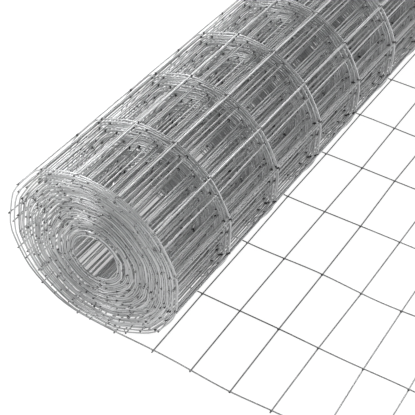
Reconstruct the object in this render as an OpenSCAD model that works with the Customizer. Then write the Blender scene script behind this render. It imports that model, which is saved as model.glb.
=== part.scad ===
// Roll of welded wire fencing, lying on its side with its loose end rolled out flat.
// The web has line wires along its length and cross wires across its width, welded where they cross.
// The tight turns are one turned solid. Their line wires stack up into rings and show on its ends.
// The last turn has sprung off the tight ones. Its bars come down to the floor and run on as the loose end.
// The cross wires are on the outside of the roll, so they lie on the floor under the loose end.
// Frame: +Z up, floor at Z = 0, roll axis along Y, loose end towards +X, origin mid-footprint.

/* [Mesh] */
// Diameter of every wire
wire_d = 1.6; // [1.2:0.1:2.4]
// Spacing of the line wires across the web
line_pitch = 101.6; // [50.8:25.4:152.4]
// Spacing of the cross wires along the web
cross_pitch = 50.8; // [25.4:12.7:101.6]
// Cells across the width of the web
cells_across = 9; // [4:1:18]
// Length of a cross wire past the edge line wire's centre
cross_stub = 2; // [1.5:0.5:10]
// Depth that the weld sinks one wire into the other
weld_sink = 0.4; // [0.2:0.1:0.6]

/* [Tight turns] */
// Outer diameter of the tight turns
roll_d = 205; // [180:1:300]
// Diameter of the open bore
bore_d = 55; // [40:1:80]
// Least gap between the line wires of two turns
turn_gap = 0.5; // [0.2:0.1:6]
// Depth of the valleys between the turns on the ends
turn_relief = 5; // [2:0.5:20]
// Width of the ring that the stacked line wires form
ring_w = 4; // [2:0.5:10]
// Height of the rings over the inner turns' cross wires, which fill the roll between them
ring_h = 8; // [1:0.5:30]

/* [Sprung turn] */
// Angle, from straight down and back over the top, at which the last turn springs off the tight ones
spring_at = 225; // [190:1:250]
// Angle, measured the same way, at which the last turn comes out of the tight ones
lap_to = 335; // [310:1:345]
// How much larger the sprung turn's radius is than the tight turns'
spring = 7; // [1:0.5:15]
// Radius of the bend that brings the sprung turn down to the floor
floor_bend = 45; // [20:1:70]

/* [Loose end] */
// Distance along the floor from the roll's axis to the first clear cross wire
first_cross = 69; // [40:1:90]
// Cross wires on the clear part
flat_crosses = 8; // [2:1:16]
// Length of the cut line wires past the last cross wire
line_stub = 25; // [5:1:45]

/* [Hidden] */

galvanised = [0.62, 0.63, 0.64];
roll_facets = 128;
wire_sides = 8;
// How far each stretch of a line wire runs into the next one, so that the wire is one solid
stretch_overlap = 0.05;

wire_r = wire_d / 2;
roll_r = roll_d / 2;
bore_r = bore_d / 2;
web_w = cells_across * line_pitch;
cross_l = web_w + 2 * cross_stub;

// The cross wires lie on the floor, the line wires on them, and the tight turns on the line wires
weld_gap = wire_d - weld_sink;
line_z = wire_r + weld_gap;
axis_z = line_z + wire_r + roll_r;

// Tight turns: as many as fit with their gap
first_turn_r = bore_r + wire_r;
last_turn_r = roll_r - wire_r;
turns = 1 + floor((last_turn_r - first_turn_r) / (wire_d + turn_gap));
turn_pitch = (last_turn_r - first_turn_r) / (turns - 1);
body_r = roll_r - ring_h;
end_y = web_w / 2 + wire_r;
end_ring_y = web_w / 2 - turn_relief - ring_w;

function line_y(line) = line * line_pitch - web_w / 2;

// Places of the web are [x from the roll's axis, height over the floor, angle from straight down].
// Back from the floor the web takes a bend, a wide sprung arc, and a lap of the tight turns.
function on_arc(centre, radius, angle) =
    [centre.x - radius * sin(angle), centre.y - radius * cos(angle), angle];
function arc_length(radius, angle) = radius * angle * PI / 180;
function arc_angle(radius, length) = length / radius * 180 / PI;

lap_c = [0, axis_z];
lap_r = roll_r + wire_r;
sprung_c = on_arc(lap_c, -spring, spring_at);
sprung_r = lap_r + spring;
bend_z = line_z + floor_bend;
bend_x = sprung_c.x - sqrt(pow(sprung_r - floor_bend, 2) - pow(sprung_c.y - bend_z, 2));
bend_c = [bend_x, bend_z];
bend_to = atan2(sprung_c.x - bend_x, sprung_c.y - bend_z);

// Ends of the stretches, measured back along the web from the first clear cross wire
flat_back = first_cross - bend_x;
bend_back = flat_back + arc_length(floor_bend, bend_to);
sprung_back = bend_back + arc_length(sprung_r, spring_at - bend_to);
lap_back = sprung_back + arc_length(lap_r, lap_to - spring_at);

function line_place(back) =
    back < flat_back ? [first_cross - back, line_z, 0]
    : back < bend_back ? on_arc(bend_c, floor_bend, arc_angle(floor_bend, back - flat_back))
    : back < sprung_back ? on_arc(sprung_c, sprung_r, bend_to + arc_angle(sprung_r, back - bend_back))
    : on_arc(lap_c, lap_r, spring_at + arc_angle(lap_r, back - sprung_back));

function cross_place(back) = on_arc(line_place(back), weld_gap, line_place(back)[2]);

wound_crosses = floor((lap_back - wire_d) / cross_pitch);
cross_places = [for (cross = [1 - flat_crosses : wound_crosses]) cross_place(cross * cross_pitch)];

// Footprint, from the sprung turn's farthest wire to the cut ends of the line wires
sprung_reach = max(sprung_r - sprung_c.x, max([for (place = cross_places) -place.x])) + wire_r;
flat_end = first_cross + (flat_crosses - 1) * cross_pitch + line_stub;
axis_x = (sprung_reach - flat_end) / 2;

// Section of every wire, with its flats at the wire's full diameter
module wire_section() {
    rotate(180 / wire_sides)
        circle(d = wire_d / cos(180 / wire_sides), $fn = wire_sides);
}

// Section of the valley between two turns: straight walls, then the round of the wires on both sides
module valley_section() {
    half_flat = wire_r * tan(180 / wire_sides);
    half_gap = turn_pitch / 2 - wire_r;
    half_mouth = turn_pitch / 2 - half_flat;
    polygon([
        [-half_gap, -turn_relief], [half_gap, -turn_relief], [half_gap, half_flat], [half_mouth, wire_r],
        [half_mouth, wire_d], [-half_mouth, wire_d], [-half_mouth, wire_r], [-half_gap, half_flat]
    ]);
}

// Half section of the tight turns: valleys between the turns on both ends, grooves between the rings
module roll_section() {
    difference() {
        translate([bore_r, -end_y])
            square([roll_r - bore_r, 2 * end_y]);
        for (valley = [0.5 : turns - 1.5], end = [0, 1])
            mirror([0, end])
                translate([first_turn_r + valley * turn_pitch, web_w / 2])
                    valley_section();
        for (cell = [0 : cells_across - 1]) {
            groove_from = max(line_y(cell) + ring_w / 2, -end_ring_y);
            groove_to = min(line_y(cell + 1) - ring_w / 2, end_ring_y);
            translate([body_r, groove_from])
                square([roll_r, groove_to - groove_from]);
        }
    }
}

// The tight turns as one turned solid, open along its bore
module wound_roll() {
    color(galvanised)
        translate([axis_x, 0, axis_z])
            rotate([90, 0, 0])
                rotate_extrude($fn = roll_facets)
                    roll_section();
}

// Line wire bent round an axis along Y, between two angles from straight down, and just past the first
module bent_wire(centre, radius, from, to) {
    sweep = to - from + arc_angle(radius, stretch_overlap);
    translate([centre.x, 0, centre.y])
        rotate([90, 0, 0])
            rotate(-90 - to)
                rotate_extrude(angle = sweep, $fn = roll_facets)
                    translate([radius, 0])
                        wire_section();
}

// One line wire, from the tight turns round the last turn to its cut end
module line_wire() {
    bent_wire(lap_c, lap_r, spring_at, lap_to);
    bent_wire(sprung_c, sprung_r, bend_to, spring_at);
    bent_wire(bend_c, floor_bend, 0, bend_to);
    translate([bend_x, 0, line_z])
        rotate([0, 90, 0])
            linear_extrude(flat_end - bend_x)
                wire_section();
}

// One cross wire, turned so that a flat faces the line wires
module cross_wire(place) {
    translate([place.x, 0, place.y])
        rotate([90, 0, 0])
            rotate(-place[2])
                linear_extrude(cross_l, center = true)
                    wire_section();
}

// The last turn and the flat part of the web as one welded grid
module loose_end() {
    color(galvanised)
        translate([axis_x, 0, 0]) {
            for (line = [0 : cells_across])
                translate([0, line_y(line), 0])
                    line_wire();
            for (place = cross_places)
                cross_wire(place);
        }
}

wound_roll();
loose_end();
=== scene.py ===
"""Looks of a roll of welded wire fencing: every wire of the web, wound and loose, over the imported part."""

import math

import bpy
import numpy as np
from mathutils import Matrix, Vector


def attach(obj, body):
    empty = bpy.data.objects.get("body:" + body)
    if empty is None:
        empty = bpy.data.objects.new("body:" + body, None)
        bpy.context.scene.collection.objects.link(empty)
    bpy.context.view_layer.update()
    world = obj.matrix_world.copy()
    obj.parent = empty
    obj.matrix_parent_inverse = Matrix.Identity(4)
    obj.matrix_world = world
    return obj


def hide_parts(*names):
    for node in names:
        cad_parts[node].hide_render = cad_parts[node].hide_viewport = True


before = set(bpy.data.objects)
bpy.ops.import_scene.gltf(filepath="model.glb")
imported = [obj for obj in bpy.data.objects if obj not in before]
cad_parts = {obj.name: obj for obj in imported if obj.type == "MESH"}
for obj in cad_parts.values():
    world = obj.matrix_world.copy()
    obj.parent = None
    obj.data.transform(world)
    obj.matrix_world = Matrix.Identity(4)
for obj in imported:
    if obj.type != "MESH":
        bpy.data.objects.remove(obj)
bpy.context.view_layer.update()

# Sizes of the web and the roll, in metres
WIRE_R = 0.0008
LINE_PITCH = 0.1016
CROSS_PITCH = 0.0508
LINES = 10
WEB_W = (LINES - 1) * LINE_PITCH
WELD_SINK = 0.0004
AXIS_X = -0.166372
AXIS_Z = 0.1055
CORE_R = 0.0283
FIRST_CROSS = 0.069
FLAT_CROSSES = 8
LINE_STUB = 0.025

# Distance between the middles of two welded wires, and the heights of the flat part's wires
STACK = 2 * WIRE_R - WELD_SINK
CROSS_Z = WIRE_R
LINE_Z = CROSS_Z + STACK
END_R = AXIS_Z - LINE_Z

WIRE_SIDES = 8
SEED = 20

rng = np.random.default_rng(SEED)
shade_rng = np.random.default_rng(SEED + 1)


def smooth_noise(count, knots_apart, generator):
    """A smooth random curve of count values, about -1 to 1, with a knot every knots_apart values."""
    knots = int(math.ceil(count / knots_apart)) + 4
    values = generator.uniform(-1.0, 1.0, knots)
    place = np.arange(count) / knots_apart + 1.0
    low = np.floor(place).astype(int)
    t = place - low
    a, b, c, d = (values[low + shift] for shift in (-1, 0, 1, 2))
    return b + 0.5 * t * (c - a + t * (2 * a - 5 * b + 4 * c - d + t * (3 * (b - c) + d - a)))


# Path of the web, seen along the roll's axis. Angles are in degrees.
TURNS = 36
TURN_STEP = 2
PER_TURN = 360 // TURN_STEP
LEAVES_AT = 270
# How many steps ahead a taut turn looks for what it will touch next
LOOK_AHEAD = 75
# Distance between the middles of two turns that touch
CONTACT = 0.00178
# Length of the web before the first cross wire that lifts a turn, and the number of turns in which the spring
# of the outer ones falls to about a third. They belong together: with both, the turns are lifted where
# the cross wires lie, which are counted back from the flat part.
FIRST_PHASE = 0.036
LOOSE_DEPTH = 1.6
# Degrees over which the tables below are smoothed, and weights that smooth the wound path
TABLE_SMOOTH = 7
PATH_SMOOTH = (0.1, 0.2, 0.4, 0.2, 0.1)
MILLIMETRE = 1e-3

# Reach of the tight turns, and how far the last turn has sprung off them: degrees and millimetres
REACH = (
    (270, 103.5), (285, 103.5), (300, 104.0), (315, 105.0), (330, 106.5), (360, 106.5), (390, 107.5),
    (420, 108.0), (450, 108.0), (480, 108.5), (510, 110.0), (540, 111.5), (565, 113.0), (585, 113.0),
    (597, 111.5), (608, 107.5), (618, 105.0), (630, 103.5),
)
SPRUNG = (
    (270, 0.0), (360, 0.5), (420, 1.5), (450, 2.0), (470, 3.0), (495, 5.5), (520, 8.5), (545, 10.5),
    (560, 9.5), (580, 7.0), (595, 5.5), (607, 2.5), (618, 0.5), (630, 0.0),
)


def round_table(table):
    """One value for each degree round the circle, from knots in degrees, in metres and smoothed."""
    knots = np.array(table)
    dense = np.interp(np.arange(360.0) + LEAVES_AT, knots[:, 0], knots[:, 1]) * MILLIMETRE
    dense = np.roll(dense, LEAVES_AT)
    reach = np.arange(-3 * TABLE_SMOOTH, 3 * TABLE_SMOOTH + 1)
    weight = np.exp(-0.5 * (reach / TABLE_SMOOTH) ** 2)
    return sum(w * np.roll(dense, k) for w, k in zip(weight / weight.sum(), reach))


def taut_winding():
    """Angles and radii of the line wires: each turn is drawn taut over the turn and cross wires below it."""
    # How much farther apart the turns lie in each direction than straight down
    wider = (round_table(REACH) - CORE_R) / (END_R - CORE_R)
    total = TURNS * PER_TURN
    angle = LEAVES_AT + TURN_STEP * np.arange(total + PER_TURN + 1)
    spread = CONTACT * wider[angle % 360]
    cos = np.cos(np.radians(angle))
    sin = np.sin(np.radians(angle))
    radius = np.zeros(total + PER_TURN + 1)
    lift = np.zeros(total + 2 * PER_TURN + 1)
    radius[: PER_TURN + 1] = CORE_R + CONTACT * np.linspace(0.0, 1.0, PER_TURN + 1)
    last = PER_TURN
    measured = 0
    length = 0.0
    next_cross = FIRST_PHASE
    while True:
        # Each cross wire on what is wound lifts the turn over it
        for i in range(measured + 1, last + 1):
            arc = 0.5 * (radius[i] + radius[i - 1]) * math.radians(TURN_STEP)
            length += math.hypot(arc, radius[i] - radius[i - 1])
            if length >= next_cross:
                lift[i + PER_TURN] = STACK
                next_cross += CROSS_PITCH
        measured = last
        if last >= total:
            break
        # The wire runs straight to the place ahead that it has to bend in the least to clear
        ahead = np.arange(last + 1, last + LOOK_AHEAD + 1)
        below = radius[ahead - PER_TURN] + spread[ahead - PER_TURN] + lift[ahead]
        x = radius[last] * cos[last]
        z = radius[last] * sin[last]
        dx = below * cos[ahead] - x
        dz = below * sin[ahead] - z
        bend = np.arctan2(-sin[last] * dz - cos[last] * dx, cos[last] * dz - sin[last] * dx)
        far = int(np.argmin(bend))
        span = ahead[: far + 1]
        radius[span] = (x * dz[far] - z * dx[far]) / (cos[span] * dz[far] - sin[span] * dx[far])
        last += far + 1
    return angle[: total + 1], radius[: total + 1]


def wound_path():
    """Points of the line wires from the core to where the web leaves along the floor."""
    angle, radius = taut_winding()
    turns_left = np.arange(len(radius) - 1, -1, -1) / PER_TURN
    radius = np.convolve(np.pad(radius, len(PATH_SMOOTH) // 2, mode="edge"), PATH_SMOOTH, mode="valid")
    radius = CORE_R + (radius - CORE_R) * (END_R - CORE_R) / (radius[-1] - CORE_R)
    radius = radius + round_table(SPRUNG)[angle % 360] * np.exp(-turns_left / LOOSE_DEPTH)
    x = AXIS_X + radius * np.cos(np.radians(angle))
    z = np.maximum(AXIS_Z + radius * np.sin(np.radians(angle)), LINE_Z)
    return np.column_stack((x, z))


# The whole path, and the length of web from the core to each of its points
WIRE_STEP = 0.0090
flat_end = AXIS_X + FIRST_CROSS + (FLAT_CROSSES - 1) * CROSS_PITCH + LINE_STUB
flat_x = np.linspace(AXIS_X, flat_end, int((flat_end - AXIS_X) / WIRE_STEP) + 1)[1:]
wound = wound_path()
path = np.vstack((wound, np.column_stack((flat_x, np.full(len(flat_x), LINE_Z)))))
run = np.concatenate(([0.0], np.cumsum(np.hypot(*np.diff(path, axis=0).T))))
roll_run = run[len(wound) - 1]
first_run = roll_run + FIRST_CROSS

tangent = np.gradient(path, run, axis=0)
tangent /= np.linalg.norm(tangent, axis=1)[:, None]
outward = np.column_stack((tangent[:, 1], -tangent[:, 0]))

# Points that the line wires keep: about WIRE_STEP apart, and closer on the tight inner turns
KEEP_STEP = 0.93 * WIRE_STEP
KEEP_WITHIN = 6
kept = [0]
for i in range(1, len(path)):
    if run[i] - run[kept[-1]] >= KEEP_STEP or i - kept[-1] >= KEEP_WITHIN or i == len(path) - 1:
        kept.append(i)
kept = np.array(kept)

# How far the turns have slipped sideways along the axis, fading out before the flat part
TELESCOPE = 0.0016
TELESCOPE_KNOT = 130
TELESCOPE_FADE = 0.25
edge_shift = TELESCOPE * smooth_noise(len(path), TELESCOPE_KNOT, rng)
edge_shift *= np.clip((roll_run - run) / TELESCOPE_FADE, 0.0, 1.0)


def on_path(values, where):
    """A value along the web, read at lengths from the core."""
    return np.interp(where, run, values)


# Meshes

def new_object(name, points, faces, materials):
    """A mesh object in the scene, with its material slots."""
    mesh = bpy.data.meshes.new(name)
    mesh.from_pydata(points, [], faces)
    for material in materials:
        mesh.materials.append(material)
    made = bpy.data.objects.new(name, mesh)
    bpy.context.scene.collection.objects.link(made)
    return made


def tube(points, side):
    """Vertices and quads of one round wire along points, with side as the direction of its first edge."""
    along = np.gradient(points, axis=0)
    along /= np.linalg.norm(along, axis=1)[:, None]
    first = side - along * np.sum(side * along, axis=1)[:, None]
    first /= np.linalg.norm(first, axis=1)[:, None]
    second = np.cross(along, first)
    turn = 2 * np.pi * (np.arange(WIRE_SIDES) + 0.5) / WIRE_SIDES
    ring = np.cos(turn)[None, :, None] * first[:, None, :] + np.sin(turn)[None, :, None] * second[:, None, :]
    vertices = (points[:, None, :] + WIRE_R * ring).reshape(-1, 3)
    start = np.arange(len(points) - 1)[:, None] * WIRE_SIDES
    k = np.arange(WIRE_SIDES)[None, :]
    n = (k + 1) % WIRE_SIDES
    corners = (start + k, start + n, start + WIRE_SIDES + n, start + WIRE_SIDES + k)
    return vertices, np.stack(corners, axis=-1).reshape(-1, 4)


def wires(name, lines, materials):
    """One object of many wires, from points, sides and shades of each. The second material is on the cuts."""
    vertices = []
    shades = []
    quads = []
    cuts = []
    start = 0
    for points, side, shade in lines:
        wire_vertices, wire_quads = tube(points, side)
        end = start + len(wire_vertices)
        vertices.append(wire_vertices)
        shades.append(np.repeat(shade, WIRE_SIDES))
        quads.append(wire_quads + start)
        cuts.append(list(range(start, start + WIRE_SIDES))[::-1])
        cuts.append(list(range(end - WIRE_SIDES, end)))
        start = end
    quads = np.vstack(quads).tolist()
    piece = new_object(name, np.vstack(vertices).tolist(), quads + cuts, materials)
    mesh = piece.data
    mesh.polygons.foreach_set("use_smooth", [True] * len(quads) + [False] * len(cuts))
    mesh.polygons.foreach_set("material_index", [0] * len(quads) + [1] * len(cuts))
    mesh.validate()
    mesh.update()
    mesh.attributes.new("shade", "FLOAT", "POINT").data.foreach_set("value", np.concatenate(shades))
    return piece


# Materials

# Scales of the patches and grains in the zinc and of its rough skin, and the grains' share in the mottle
PATCH_SCALE = 45.0
GRAIN_SCALE = 420.0
FINE_SCALE = 1400.0
GRAIN_SHARE = 0.35
# Where the mottle is darkest and lightest, and where its gloss is finest and roughest
COLOUR_FROM = 0.38
COLOUR_TO = 0.62
GLOSS_FROM = 0.3
GLOSS_TO = 0.8
FINER = 0.09
ROUGHER = 0.12
SKIN_STRENGTH = 0.25
SKIN_DEPTH = 0.0002


def node(tree, kind, place, **values):
    """A shader node with its inputs or properties set by name."""
    made = tree.nodes.new(kind)
    made.location = place
    for key, value in values.items():
        if key in made.inputs:
            made.inputs[key].default_value = value
        else:
            setattr(made, key, value)
    return made


def map_range(tree, place, limits, levels, interpolation="LINEAR"):
    """A node that turns a value between two limits into one between two levels."""
    made = node(tree, "ShaderNodeMapRange", place, interpolation_type=interpolation)
    made.inputs["From Min"].default_value, made.inputs["From Max"].default_value = limits
    made.inputs["To Min"].default_value, made.inputs["To Max"].default_value = levels
    return made


def galvanised_material(name, dark, light, rough, metal, shaded):
    """Zinc on drawn wire: a mottled grey with fine grains, uneven gloss and a slightly rough skin."""
    material = bpy.data.materials.new(name)
    material.use_nodes = True
    tree = material.node_tree
    links = tree.links
    shader = tree.nodes["Principled BSDF"]
    shader.inputs["Metallic"].default_value = metal
    where = node(tree, "ShaderNodeTexCoord", (-1000, 0))
    patch = node(tree, "ShaderNodeTexNoise", (-800, 200), Scale=PATCH_SCALE, Detail=5.0, Roughness=0.62)
    grain = node(tree, "ShaderNodeTexVoronoi", (-800, -100), Scale=GRAIN_SCALE)
    fine = node(tree, "ShaderNodeTexNoise", (-800, -400), Scale=FINE_SCALE, Detail=3.0, Roughness=0.6)
    for texture in (patch, grain, fine):
        links.new(where.outputs["Object"], texture.inputs["Vector"])
    mottle = node(tree, "ShaderNodeMath", (-600, 100), operation="MULTIPLY_ADD")
    mottle.inputs[1].default_value = GRAIN_SHARE
    links.new(grain.outputs["Distance"], mottle.inputs[0])
    links.new(patch.outputs["Fac"], mottle.inputs[2])
    ramp = node(tree, "ShaderNodeValToRGB", (-400, 200))
    for stop, position, colour in zip(ramp.color_ramp.elements, (COLOUR_FROM, COLOUR_TO), (dark, light)):
        stop.position = position
        stop.color = (*colour, 1.0)
    links.new(mottle.outputs[0], ramp.inputs["Fac"])
    colour = ramp.outputs["Color"]
    if shaded:
        # The shade attribute: a random tone for each wire, and painted shade on the flat part
        shade = node(tree, "ShaderNodeAttribute", (-400, 500), attribute_name="shade")
        toned = node(tree, "ShaderNodeVectorMath", (-100, 300), operation="SCALE")
        links.new(colour, toned.inputs[0])
        links.new(shade.outputs["Fac"], toned.inputs["Scale"])
        colour = toned.outputs[0]
    links.new(colour, shader.inputs["Base Color"])
    gloss = map_range(tree, (-400, -100), (GLOSS_FROM, GLOSS_TO), (rough - FINER, rough + ROUGHER))
    links.new(mottle.outputs[0], gloss.inputs["Value"])
    links.new(gloss.outputs["Result"], shader.inputs["Roughness"])
    skin = node(tree, "ShaderNodeBump", (-200, -300), Strength=SKIN_STRENGTH, Distance=SKIN_DEPTH)
    links.new(fine.outputs["Fac"], skin.inputs["Height"])
    links.new(skin.outputs["Normal"], shader.inputs["Normal"])
    return material


ZINC_DARK = (0.38, 0.385, 0.39)
ZINC_LIGHT = (0.60, 0.605, 0.61)
BURNT_DARK = (0.02, 0.02, 0.021)
BURNT_LIGHT = (0.07, 0.07, 0.072)
zinc = galvanised_material("galvanised", ZINC_DARK, ZINC_LIGHT, rough=0.36, metal=0.90, shaded=True)
weld = galvanised_material("weld_burn", BURNT_DARK, BURNT_LIGHT, rough=0.7, metal=0.2, shaded=False)
# The cut ends of the wires are near black, as dark as the weld burns
cut = galvanised_material("cut_steel", BURNT_DARK, BURNT_LIGHT, rough=0.6, metal=0.3, shaded=False)

# Shade of each wire, as a share of the zinc's colour, varying at random, and the painted shade that makes the
# wires of the flat part darker
SHADE_MEAN = 0.93
LINE_SHADE = 0.20
CROSS_SHADE = 0.24
SHADE_KNOT = 14
FLAT_PAINTED_SHADE = 0.42


# Line wires: one continuous spiral each, running out along the floor in slight waves

# Sideways waves and lift of the wires on the flat part, and the length over which they fade in
LINE_WAVE = 0.0022
WAVE_KNOT = 9
LINE_LIFT = 0.0008
LIFT_KNOT = 12
FLAT_FADE = 0.04
flat_share = np.clip((run - roll_run) / FLAT_FADE, 0.0, 1.0)

line_y = []
line_points = []
for index in range(LINES):
    wave = LINE_WAVE * smooth_noise(len(path), WAVE_KNOT, rng) * flat_share
    lift = LINE_LIFT * np.abs(smooth_noise(len(path), LIFT_KNOT, rng)) * flat_share
    y = index * LINE_PITCH - WEB_W / 2 + edge_shift + wave
    line_y.append(y)
    line_points.append(np.column_stack((path[:, 0], y, path[:, 1] + lift))[kept])

half = LINES // 2
halves = (("line_wires_front", line_points[:half]), ("line_wires_back", line_points[half:]))
across = np.repeat([[0.0, 1.0, 0.0]], len(kept), axis=0)
line_pieces = []
for name, chosen in halves:
    lines = []
    for points in chosen:
        shade = SHADE_MEAN + LINE_SHADE * smooth_noise(len(kept), SHADE_KNOT, shade_rng)
        # Painted shade: the line wires darken where they run out flat
        lines.append((points, across, shade * (1.0 - FLAT_PAINTED_SHADE * flat_share[kept])))
    line_pieces.append(wires(name, lines, (zinc, cut)))


# Cross wires: welded on the outside of the line wires

STEPS_PER_CELL = 3
# Length of the web that is left without a cross wire at the core
CORE_CLEAR = 0.012
# How far a cross wire strays along the web, and how many times as far on the flat part
SKEW = 0.0016
BOW = 0.0011
WANDER = 0.0007
FLAT_LOOSE = 2.0
# How far it sags between two welds, and the least and most length of its stubs
SAG = 0.0004
STUB_SHORT = 0.0010
STUB_LONG = 0.0022

inner_crosses = int((first_run - CORE_CLEAR) / CROSS_PITCH)
share = np.linspace(-1.0, 1.0, LINES)
fine_share = np.linspace(-1.0, 1.0, (LINES - 1) * STEPS_PER_CELL + 1)
cell = np.abs(np.sin(np.linspace(0, math.pi * (LINES - 1), len(fine_share))))

cross_lines = []
weld_places = []
for number in range(-inner_crosses, FLAT_CROSSES):
    base_run = first_run + CROSS_PITCH * number
    is_flat = base_run > roll_run
    # Where the wire is welded to each line wire, as a length along the web
    knots = SKEW * rng.uniform(-1, 1) * share
    knots = knots + BOW * rng.uniform(-1, 1) * (1 - share ** 2)
    knots = knots + WANDER * rng.uniform(-1, 1, LINES)
    if is_flat:
        knots = knots * FLAT_LOOSE
    along = base_run + np.interp(fine_share, share, knots)
    sag = SAG * np.repeat(rng.uniform(-1, 1, LINES), STEPS_PER_CELL)[: len(fine_share)] * cell
    if is_flat:
        sag = np.abs(sag)
    out_x = on_path(outward[:, 0], along)
    out_z = on_path(outward[:, 1], along)
    x = on_path(path[:, 0], along) + out_x * (STACK + sag)
    z = on_path(path[:, 1], along) + out_z * (STACK + sag)
    y = fine_share * WEB_W / 2 + on_path(edge_shift, along)
    points = np.column_stack((x, y, np.maximum(z, CROSS_Z)))
    near_stub = points[:1].copy()
    near_stub[:, 1] -= rng.uniform(STUB_SHORT, STUB_LONG)
    # The far stub starts from the last point but one, so it lies folded back inside the wire
    far_stub = points[-2:-1].copy()
    far_stub[:, 1] += rng.uniform(STUB_SHORT, STUB_LONG)
    points = np.vstack((near_stub, points, far_stub))
    side = np.column_stack((out_x, np.zeros(len(out_x)), out_z))
    side = np.vstack((side[:1], side, side[-1:]))
    shade = SHADE_MEAN + CROSS_SHADE * shade_rng.uniform(-1, 1)
    # Painted shade: the cross wires of the flat part are darker
    if is_flat:
        shade *= 1.0 - FLAT_PAINTED_SHADE
    cross_lines.append((points, side, np.full(len(points), shade)))
    for index in range(LINES):
        spot = base_run + knots[index]
        centre = [on_path(values, spot) for values in (path[:, 0], line_y[index], path[:, 1])]
        out = np.array((on_path(outward[:, 0], spot), 0.0, on_path(outward[:, 1], spot)))
        is_inner = not is_flat and 0 < index < LINES - 1
        weld_places.append((np.array(centre), out / np.linalg.norm(out), is_inner))

cross_wires = wires("cross_wires", cross_lines, (zinc, cut))


# Weld nuggets where the wires cross

NUGGET_SIDES = 6
NUGGET_RINGS = 3
# Half height and half width of a bead, and the shares of them that it varies between
NUGGET_FLAT = 0.00125
NUGGET_WIDE = 0.00140
NUGGET_SMALL = 0.85
NUGGET_LARGE = 1.12
NUGGET_NARROW = 0.9
NUGGET_BROAD = 1.1
# How much larger the beads inside the roll are than those on its ends and on the flat part
INNER_WELD = 1.3


def unit_bead():
    """Points and faces of a coarse unit ball, with its poles along Z."""
    turn = 2 * np.pi * np.arange(NUGGET_SIDES) / NUGGET_SIDES
    polar = math.pi * np.arange(1, NUGGET_RINGS + 1) / (NUGGET_RINGS + 1)
    points = [(0.0, 0.0, 1.0)]
    for p in polar:
        points.extend((math.sin(p) * math.cos(t), math.sin(p) * math.sin(t), math.cos(p)) for t in turn)
    points.append((0.0, 0.0, -1.0))
    last = len(points) - 1
    last_ring = last - NUGGET_SIDES
    faces = []
    for k in range(NUGGET_SIDES):
        n = (k + 1) % NUGGET_SIDES
        faces.append((0, 1 + k, 1 + n))
        faces.append((last, last_ring + n, last_ring + k))
        for a in range(1, last_ring, NUGGET_SIDES):
            b = a + NUGGET_SIDES
            faces.append((a + k, b + k, b + n, a + n))
    return np.array(points), faces


def nuggets(name, places, material):
    """One object of small flattened beads, one at each weld."""
    unit, unit_faces = unit_bead()
    across = np.array((0.0, 1.0, 0.0))
    vertices = []
    faces = []
    for centre, out, is_inner in places:
        along = np.cross(across, out)
        size = rng.uniform(NUGGET_SMALL, NUGGET_LARGE)
        if is_inner:
            size *= INNER_WELD
        wide = NUGGET_WIDE * size * rng.uniform(NUGGET_NARROW, NUGGET_BROAD)
        bead = np.outer(unit[:, 0] * wide, along) + np.outer(unit[:, 1] * wide, across)
        bead += np.outer(unit[:, 2] * NUGGET_FLAT * size, out)
        bead += centre + out * STACK / 2
        bead[:, 2] = np.maximum(bead[:, 2], 0.0)
        start = len(vertices) * len(unit)
        vertices.append(bead)
        faces.extend([corner + start for corner in face] for face in unit_faces)
    piece = new_object(name, np.vstack(vertices).tolist(), faces, (material,))
    piece.data.polygons.foreach_set("use_smooth", [True] * len(faces))
    piece.data.update()
    return piece


weld_nuggets = nuggets("weld_nuggets", weld_places, weld)

for piece in (*line_pieces, cross_wires, weld_nuggets):
    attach(piece, "root")
for piece in (*line_pieces, cross_wires):
    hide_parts("wound_roll", "loose_end")


# Floor: flat under the part, with a rim far off that closes the view of the horizon

# Radius and height of its rings, in metres
FLOOR_RINGS = ((10.0, 0.0), (11.5, 0.15), (12.7, 0.6), (13.5, 1.4), (14.0, 3.4))
FLOOR_SIDES = 96
FLOOR_GREY = (0.14, 0.14, 0.14, 1.0)
# How white the floor looks in the open, and in the painted shadow under the roll
FLOOR_LIFT = 0.95
PAINTED_SHADOW_LIFT = 0.46
# Middle of the band of painted shadow under the roll, and where its edges start and end to each side of it
UNDER_X = AXIS_X - 0.038
UNDER_X_EDGE = (0.068, 0.096)
UNDER_Y = 0.0
UNDER_Y_EDGE = (0.39, 0.445)


def floor_bowl():
    """Points and faces of a round floor with a rim."""
    turn = 2 * np.pi * np.arange(FLOOR_SIDES) / FLOOR_SIDES
    points = [(radius * math.cos(t), radius * math.sin(t), z) for radius, z in FLOOR_RINGS for t in turn]
    faces = [tuple(range(FLOOR_SIDES))]
    for inner in range(0, (len(FLOOR_RINGS) - 1) * FLOOR_SIDES, FLOOR_SIDES):
        outer = inner + FLOOR_SIDES
        for k in range(FLOOR_SIDES):
            n = (k + 1) % FLOOR_SIDES
            faces.append((inner + k, outer + k, outer + n, inner + n))
    return points, faces


def camera_share(tree, place):
    """A factor of 1 for what the camera, a gloss or a clear surface sees, and 0 for light on the object."""
    light = node(tree, "ShaderNodeLightPath", place)
    first = node(tree, "ShaderNodeMath", (place[0] + 200, place[1]), operation="MAXIMUM")
    second = node(tree, "ShaderNodeMath", (place[0] + 400, place[1]), operation="MAXIMUM")
    tree.links.new(light.outputs["Is Camera Ray"], first.inputs[0])
    tree.links.new(light.outputs["Is Glossy Ray"], first.inputs[1])
    tree.links.new(first.outputs[0], second.inputs[0])
    tree.links.new(light.outputs["Is Transmission Ray"], second.inputs[1])
    return second.outputs[0]


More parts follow.
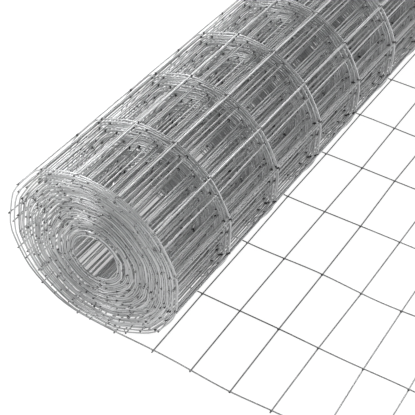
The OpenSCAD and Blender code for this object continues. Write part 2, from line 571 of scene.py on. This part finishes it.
def beside(tree, coordinate, middle, edge, height):
    """A factor that climbs from 0 to 1 as a place on the floor leaves a band round middle."""
    away = node(tree, "ShaderNodeMath", (-1400, height), operation="SUBTRACT")
    away.inputs[1].default_value = middle
    size = node(tree, "ShaderNodeMath", (-1200, height), operation="ABSOLUTE")
    fade = map_range(tree, (-1000, height), edge, (0.0, 1.0), "SMOOTHSTEP")
    tree.links.new(coordinate, away.inputs[0])
    tree.links.new(away.outputs[0], size.inputs[0])
    tree.links.new(size.outputs[0], fade.inputs["Value"])
    return fade.outputs["Result"]


def floor_material():
    """A pale floor that keeps shadows. It looks white to the camera, less so under the roll, where a shadow
    is painted into its glow.
    """
    material = bpy.data.materials.new("floor_white")
    material.use_nodes = True
    tree = material.node_tree
    links = tree.links
    tree.nodes.remove(tree.nodes["Principled BSDF"])
    diffuse = node(tree, "ShaderNodeBsdfDiffuse", (-200, 100), Color=FLOOR_GREY)
    glow = node(tree, "ShaderNodeEmission", (-200, -100))
    place = node(tree, "ShaderNodeTexCoord", (-1800, -400))
    split = node(tree, "ShaderNodeSeparateXYZ", (-1600, -400))
    links.new(place.outputs["Object"], split.inputs["Vector"])
    # Painted shadow: the floor glows less in a band under the roll
    out_of_painted_shadow = node(tree, "ShaderNodeMath", (-800, -400), operation="MAXIMUM")
    links.new(beside(tree, split.outputs["X"], UNDER_X, UNDER_X_EDGE, -300), out_of_painted_shadow.inputs[0])
    links.new(beside(tree, split.outputs["Y"], UNDER_Y, UNDER_Y_EDGE, -600), out_of_painted_shadow.inputs[1])
    level = map_range(tree, (-600, -400), (0.0, 1.0), (PAINTED_SHADOW_LIFT, FLOOR_LIFT))
    links.new(out_of_painted_shadow.outputs[0], level.inputs["Value"])
    lift = node(tree, "ShaderNodeMath", (-400, -100), operation="MULTIPLY")
    links.new(camera_share(tree, (-1200, -100)), lift.inputs[0])
    links.new(level.outputs["Result"], lift.inputs[1])
    links.new(lift.outputs[0], glow.inputs["Strength"])
    both = node(tree, "ShaderNodeAddShader", (0, 0))
    links.new(diffuse.outputs[0], both.inputs[0])
    links.new(glow.outputs[0], both.inputs[1])
    links.new(both.outputs[0], tree.nodes["Material Output"].inputs["Surface"])
    return material


floor = new_object("floor", *floor_bowl(), (floor_material(),))


# World: dark round about, and light behind the roll's far end, along +Y

AROUND_LIGHT = 0.04
BACK_LIGHT = 2.20
BACK_FROM = 0.66
BACK_TO = 0.88

world = bpy.data.worlds.new("studio")
bpy.context.scene.world = world
world.use_nodes = True
tree = world.node_tree
background = tree.nodes["Background"]
background.inputs["Color"].default_value = (1.0, 1.0, 1.0, 1.0)
sky = node(tree, "ShaderNodeTexCoord", (-1000, 0))
direction = node(tree, "ShaderNodeSeparateXYZ", (-800, 0))
level = map_range(tree, (-400, 0), (BACK_FROM, BACK_TO), (AROUND_LIGHT, BACK_LIGHT), "SMOOTHSTEP")
tree.links.new(sky.outputs["Generated"], direction.inputs["Vector"])
tree.links.new(direction.outputs["Y"], level.inputs["Value"])
tree.links.new(level.outputs["Result"], background.inputs["Strength"])


# Lamps: soft squares that point at the roll

LAMP_SIZE = 1.0
LAMP_TARGET = Vector((-0.1, 0.0, 0.1))


def area_lamp(name, place, power):
    """A square soft lamp that points at the roll."""
    data = bpy.data.lights.new(name, "AREA")
    data.shape = "SQUARE"
    data.size = LAMP_SIZE
    data.energy = power
    lamp = bpy.data.objects.new(name, data)
    lamp.location = place
    lamp.rotation_euler = (LAMP_TARGET - Vector(place)).to_track_quat("-Z", "Y").to_euler()
    bpy.context.scene.collection.objects.link(lamp)


area_lamp("key", (-1.4, 0.8, 1.7), 32.0)
area_lamp("fill", (-1.5, -0.9, 1.6), 31.0)
area_lamp("side", (1.6, -0.2, 1.0), 17.0)


# Camera at the photograph's viewing angle, fitted to the weld crossings of the flat part

PHOTO_SIZE = 415.0
FOCAL_PIXELS = 1082.1
SENSOR = 36.0
CAMERA_PLACE = (0.3562, -1.0856, 0.9017)
CAMERA_RIGHT = (0.8438, 0.5365, 0.0161)
CAMERA_FORWARD = (-0.3911, 0.6352, -0.6660)

camera_data = bpy.data.cameras.new("camera")
camera_data.sensor_fit = "HORIZONTAL"
camera_data.sensor_width = SENSOR
camera_data.lens = SENSOR * FOCAL_PIXELS / PHOTO_SIZE
camera_data.clip_end = 100.0
camera = bpy.data.objects.new("camera", camera_data)
bpy.context.scene.collection.objects.link(camera)
forward = Vector(CAMERA_FORWARD).normalized()
up = Vector(CAMERA_RIGHT).cross(forward).normalized()
right = forward.cross(up).normalized()
turned = Matrix((right, up, -forward)).transposed().to_4x4()
camera.matrix_world = Matrix.Translation(CAMERA_PLACE) @ turned
bpy.context.scene.camera = camera

bpy.context.scene.view_settings.view_transform = "Standard"
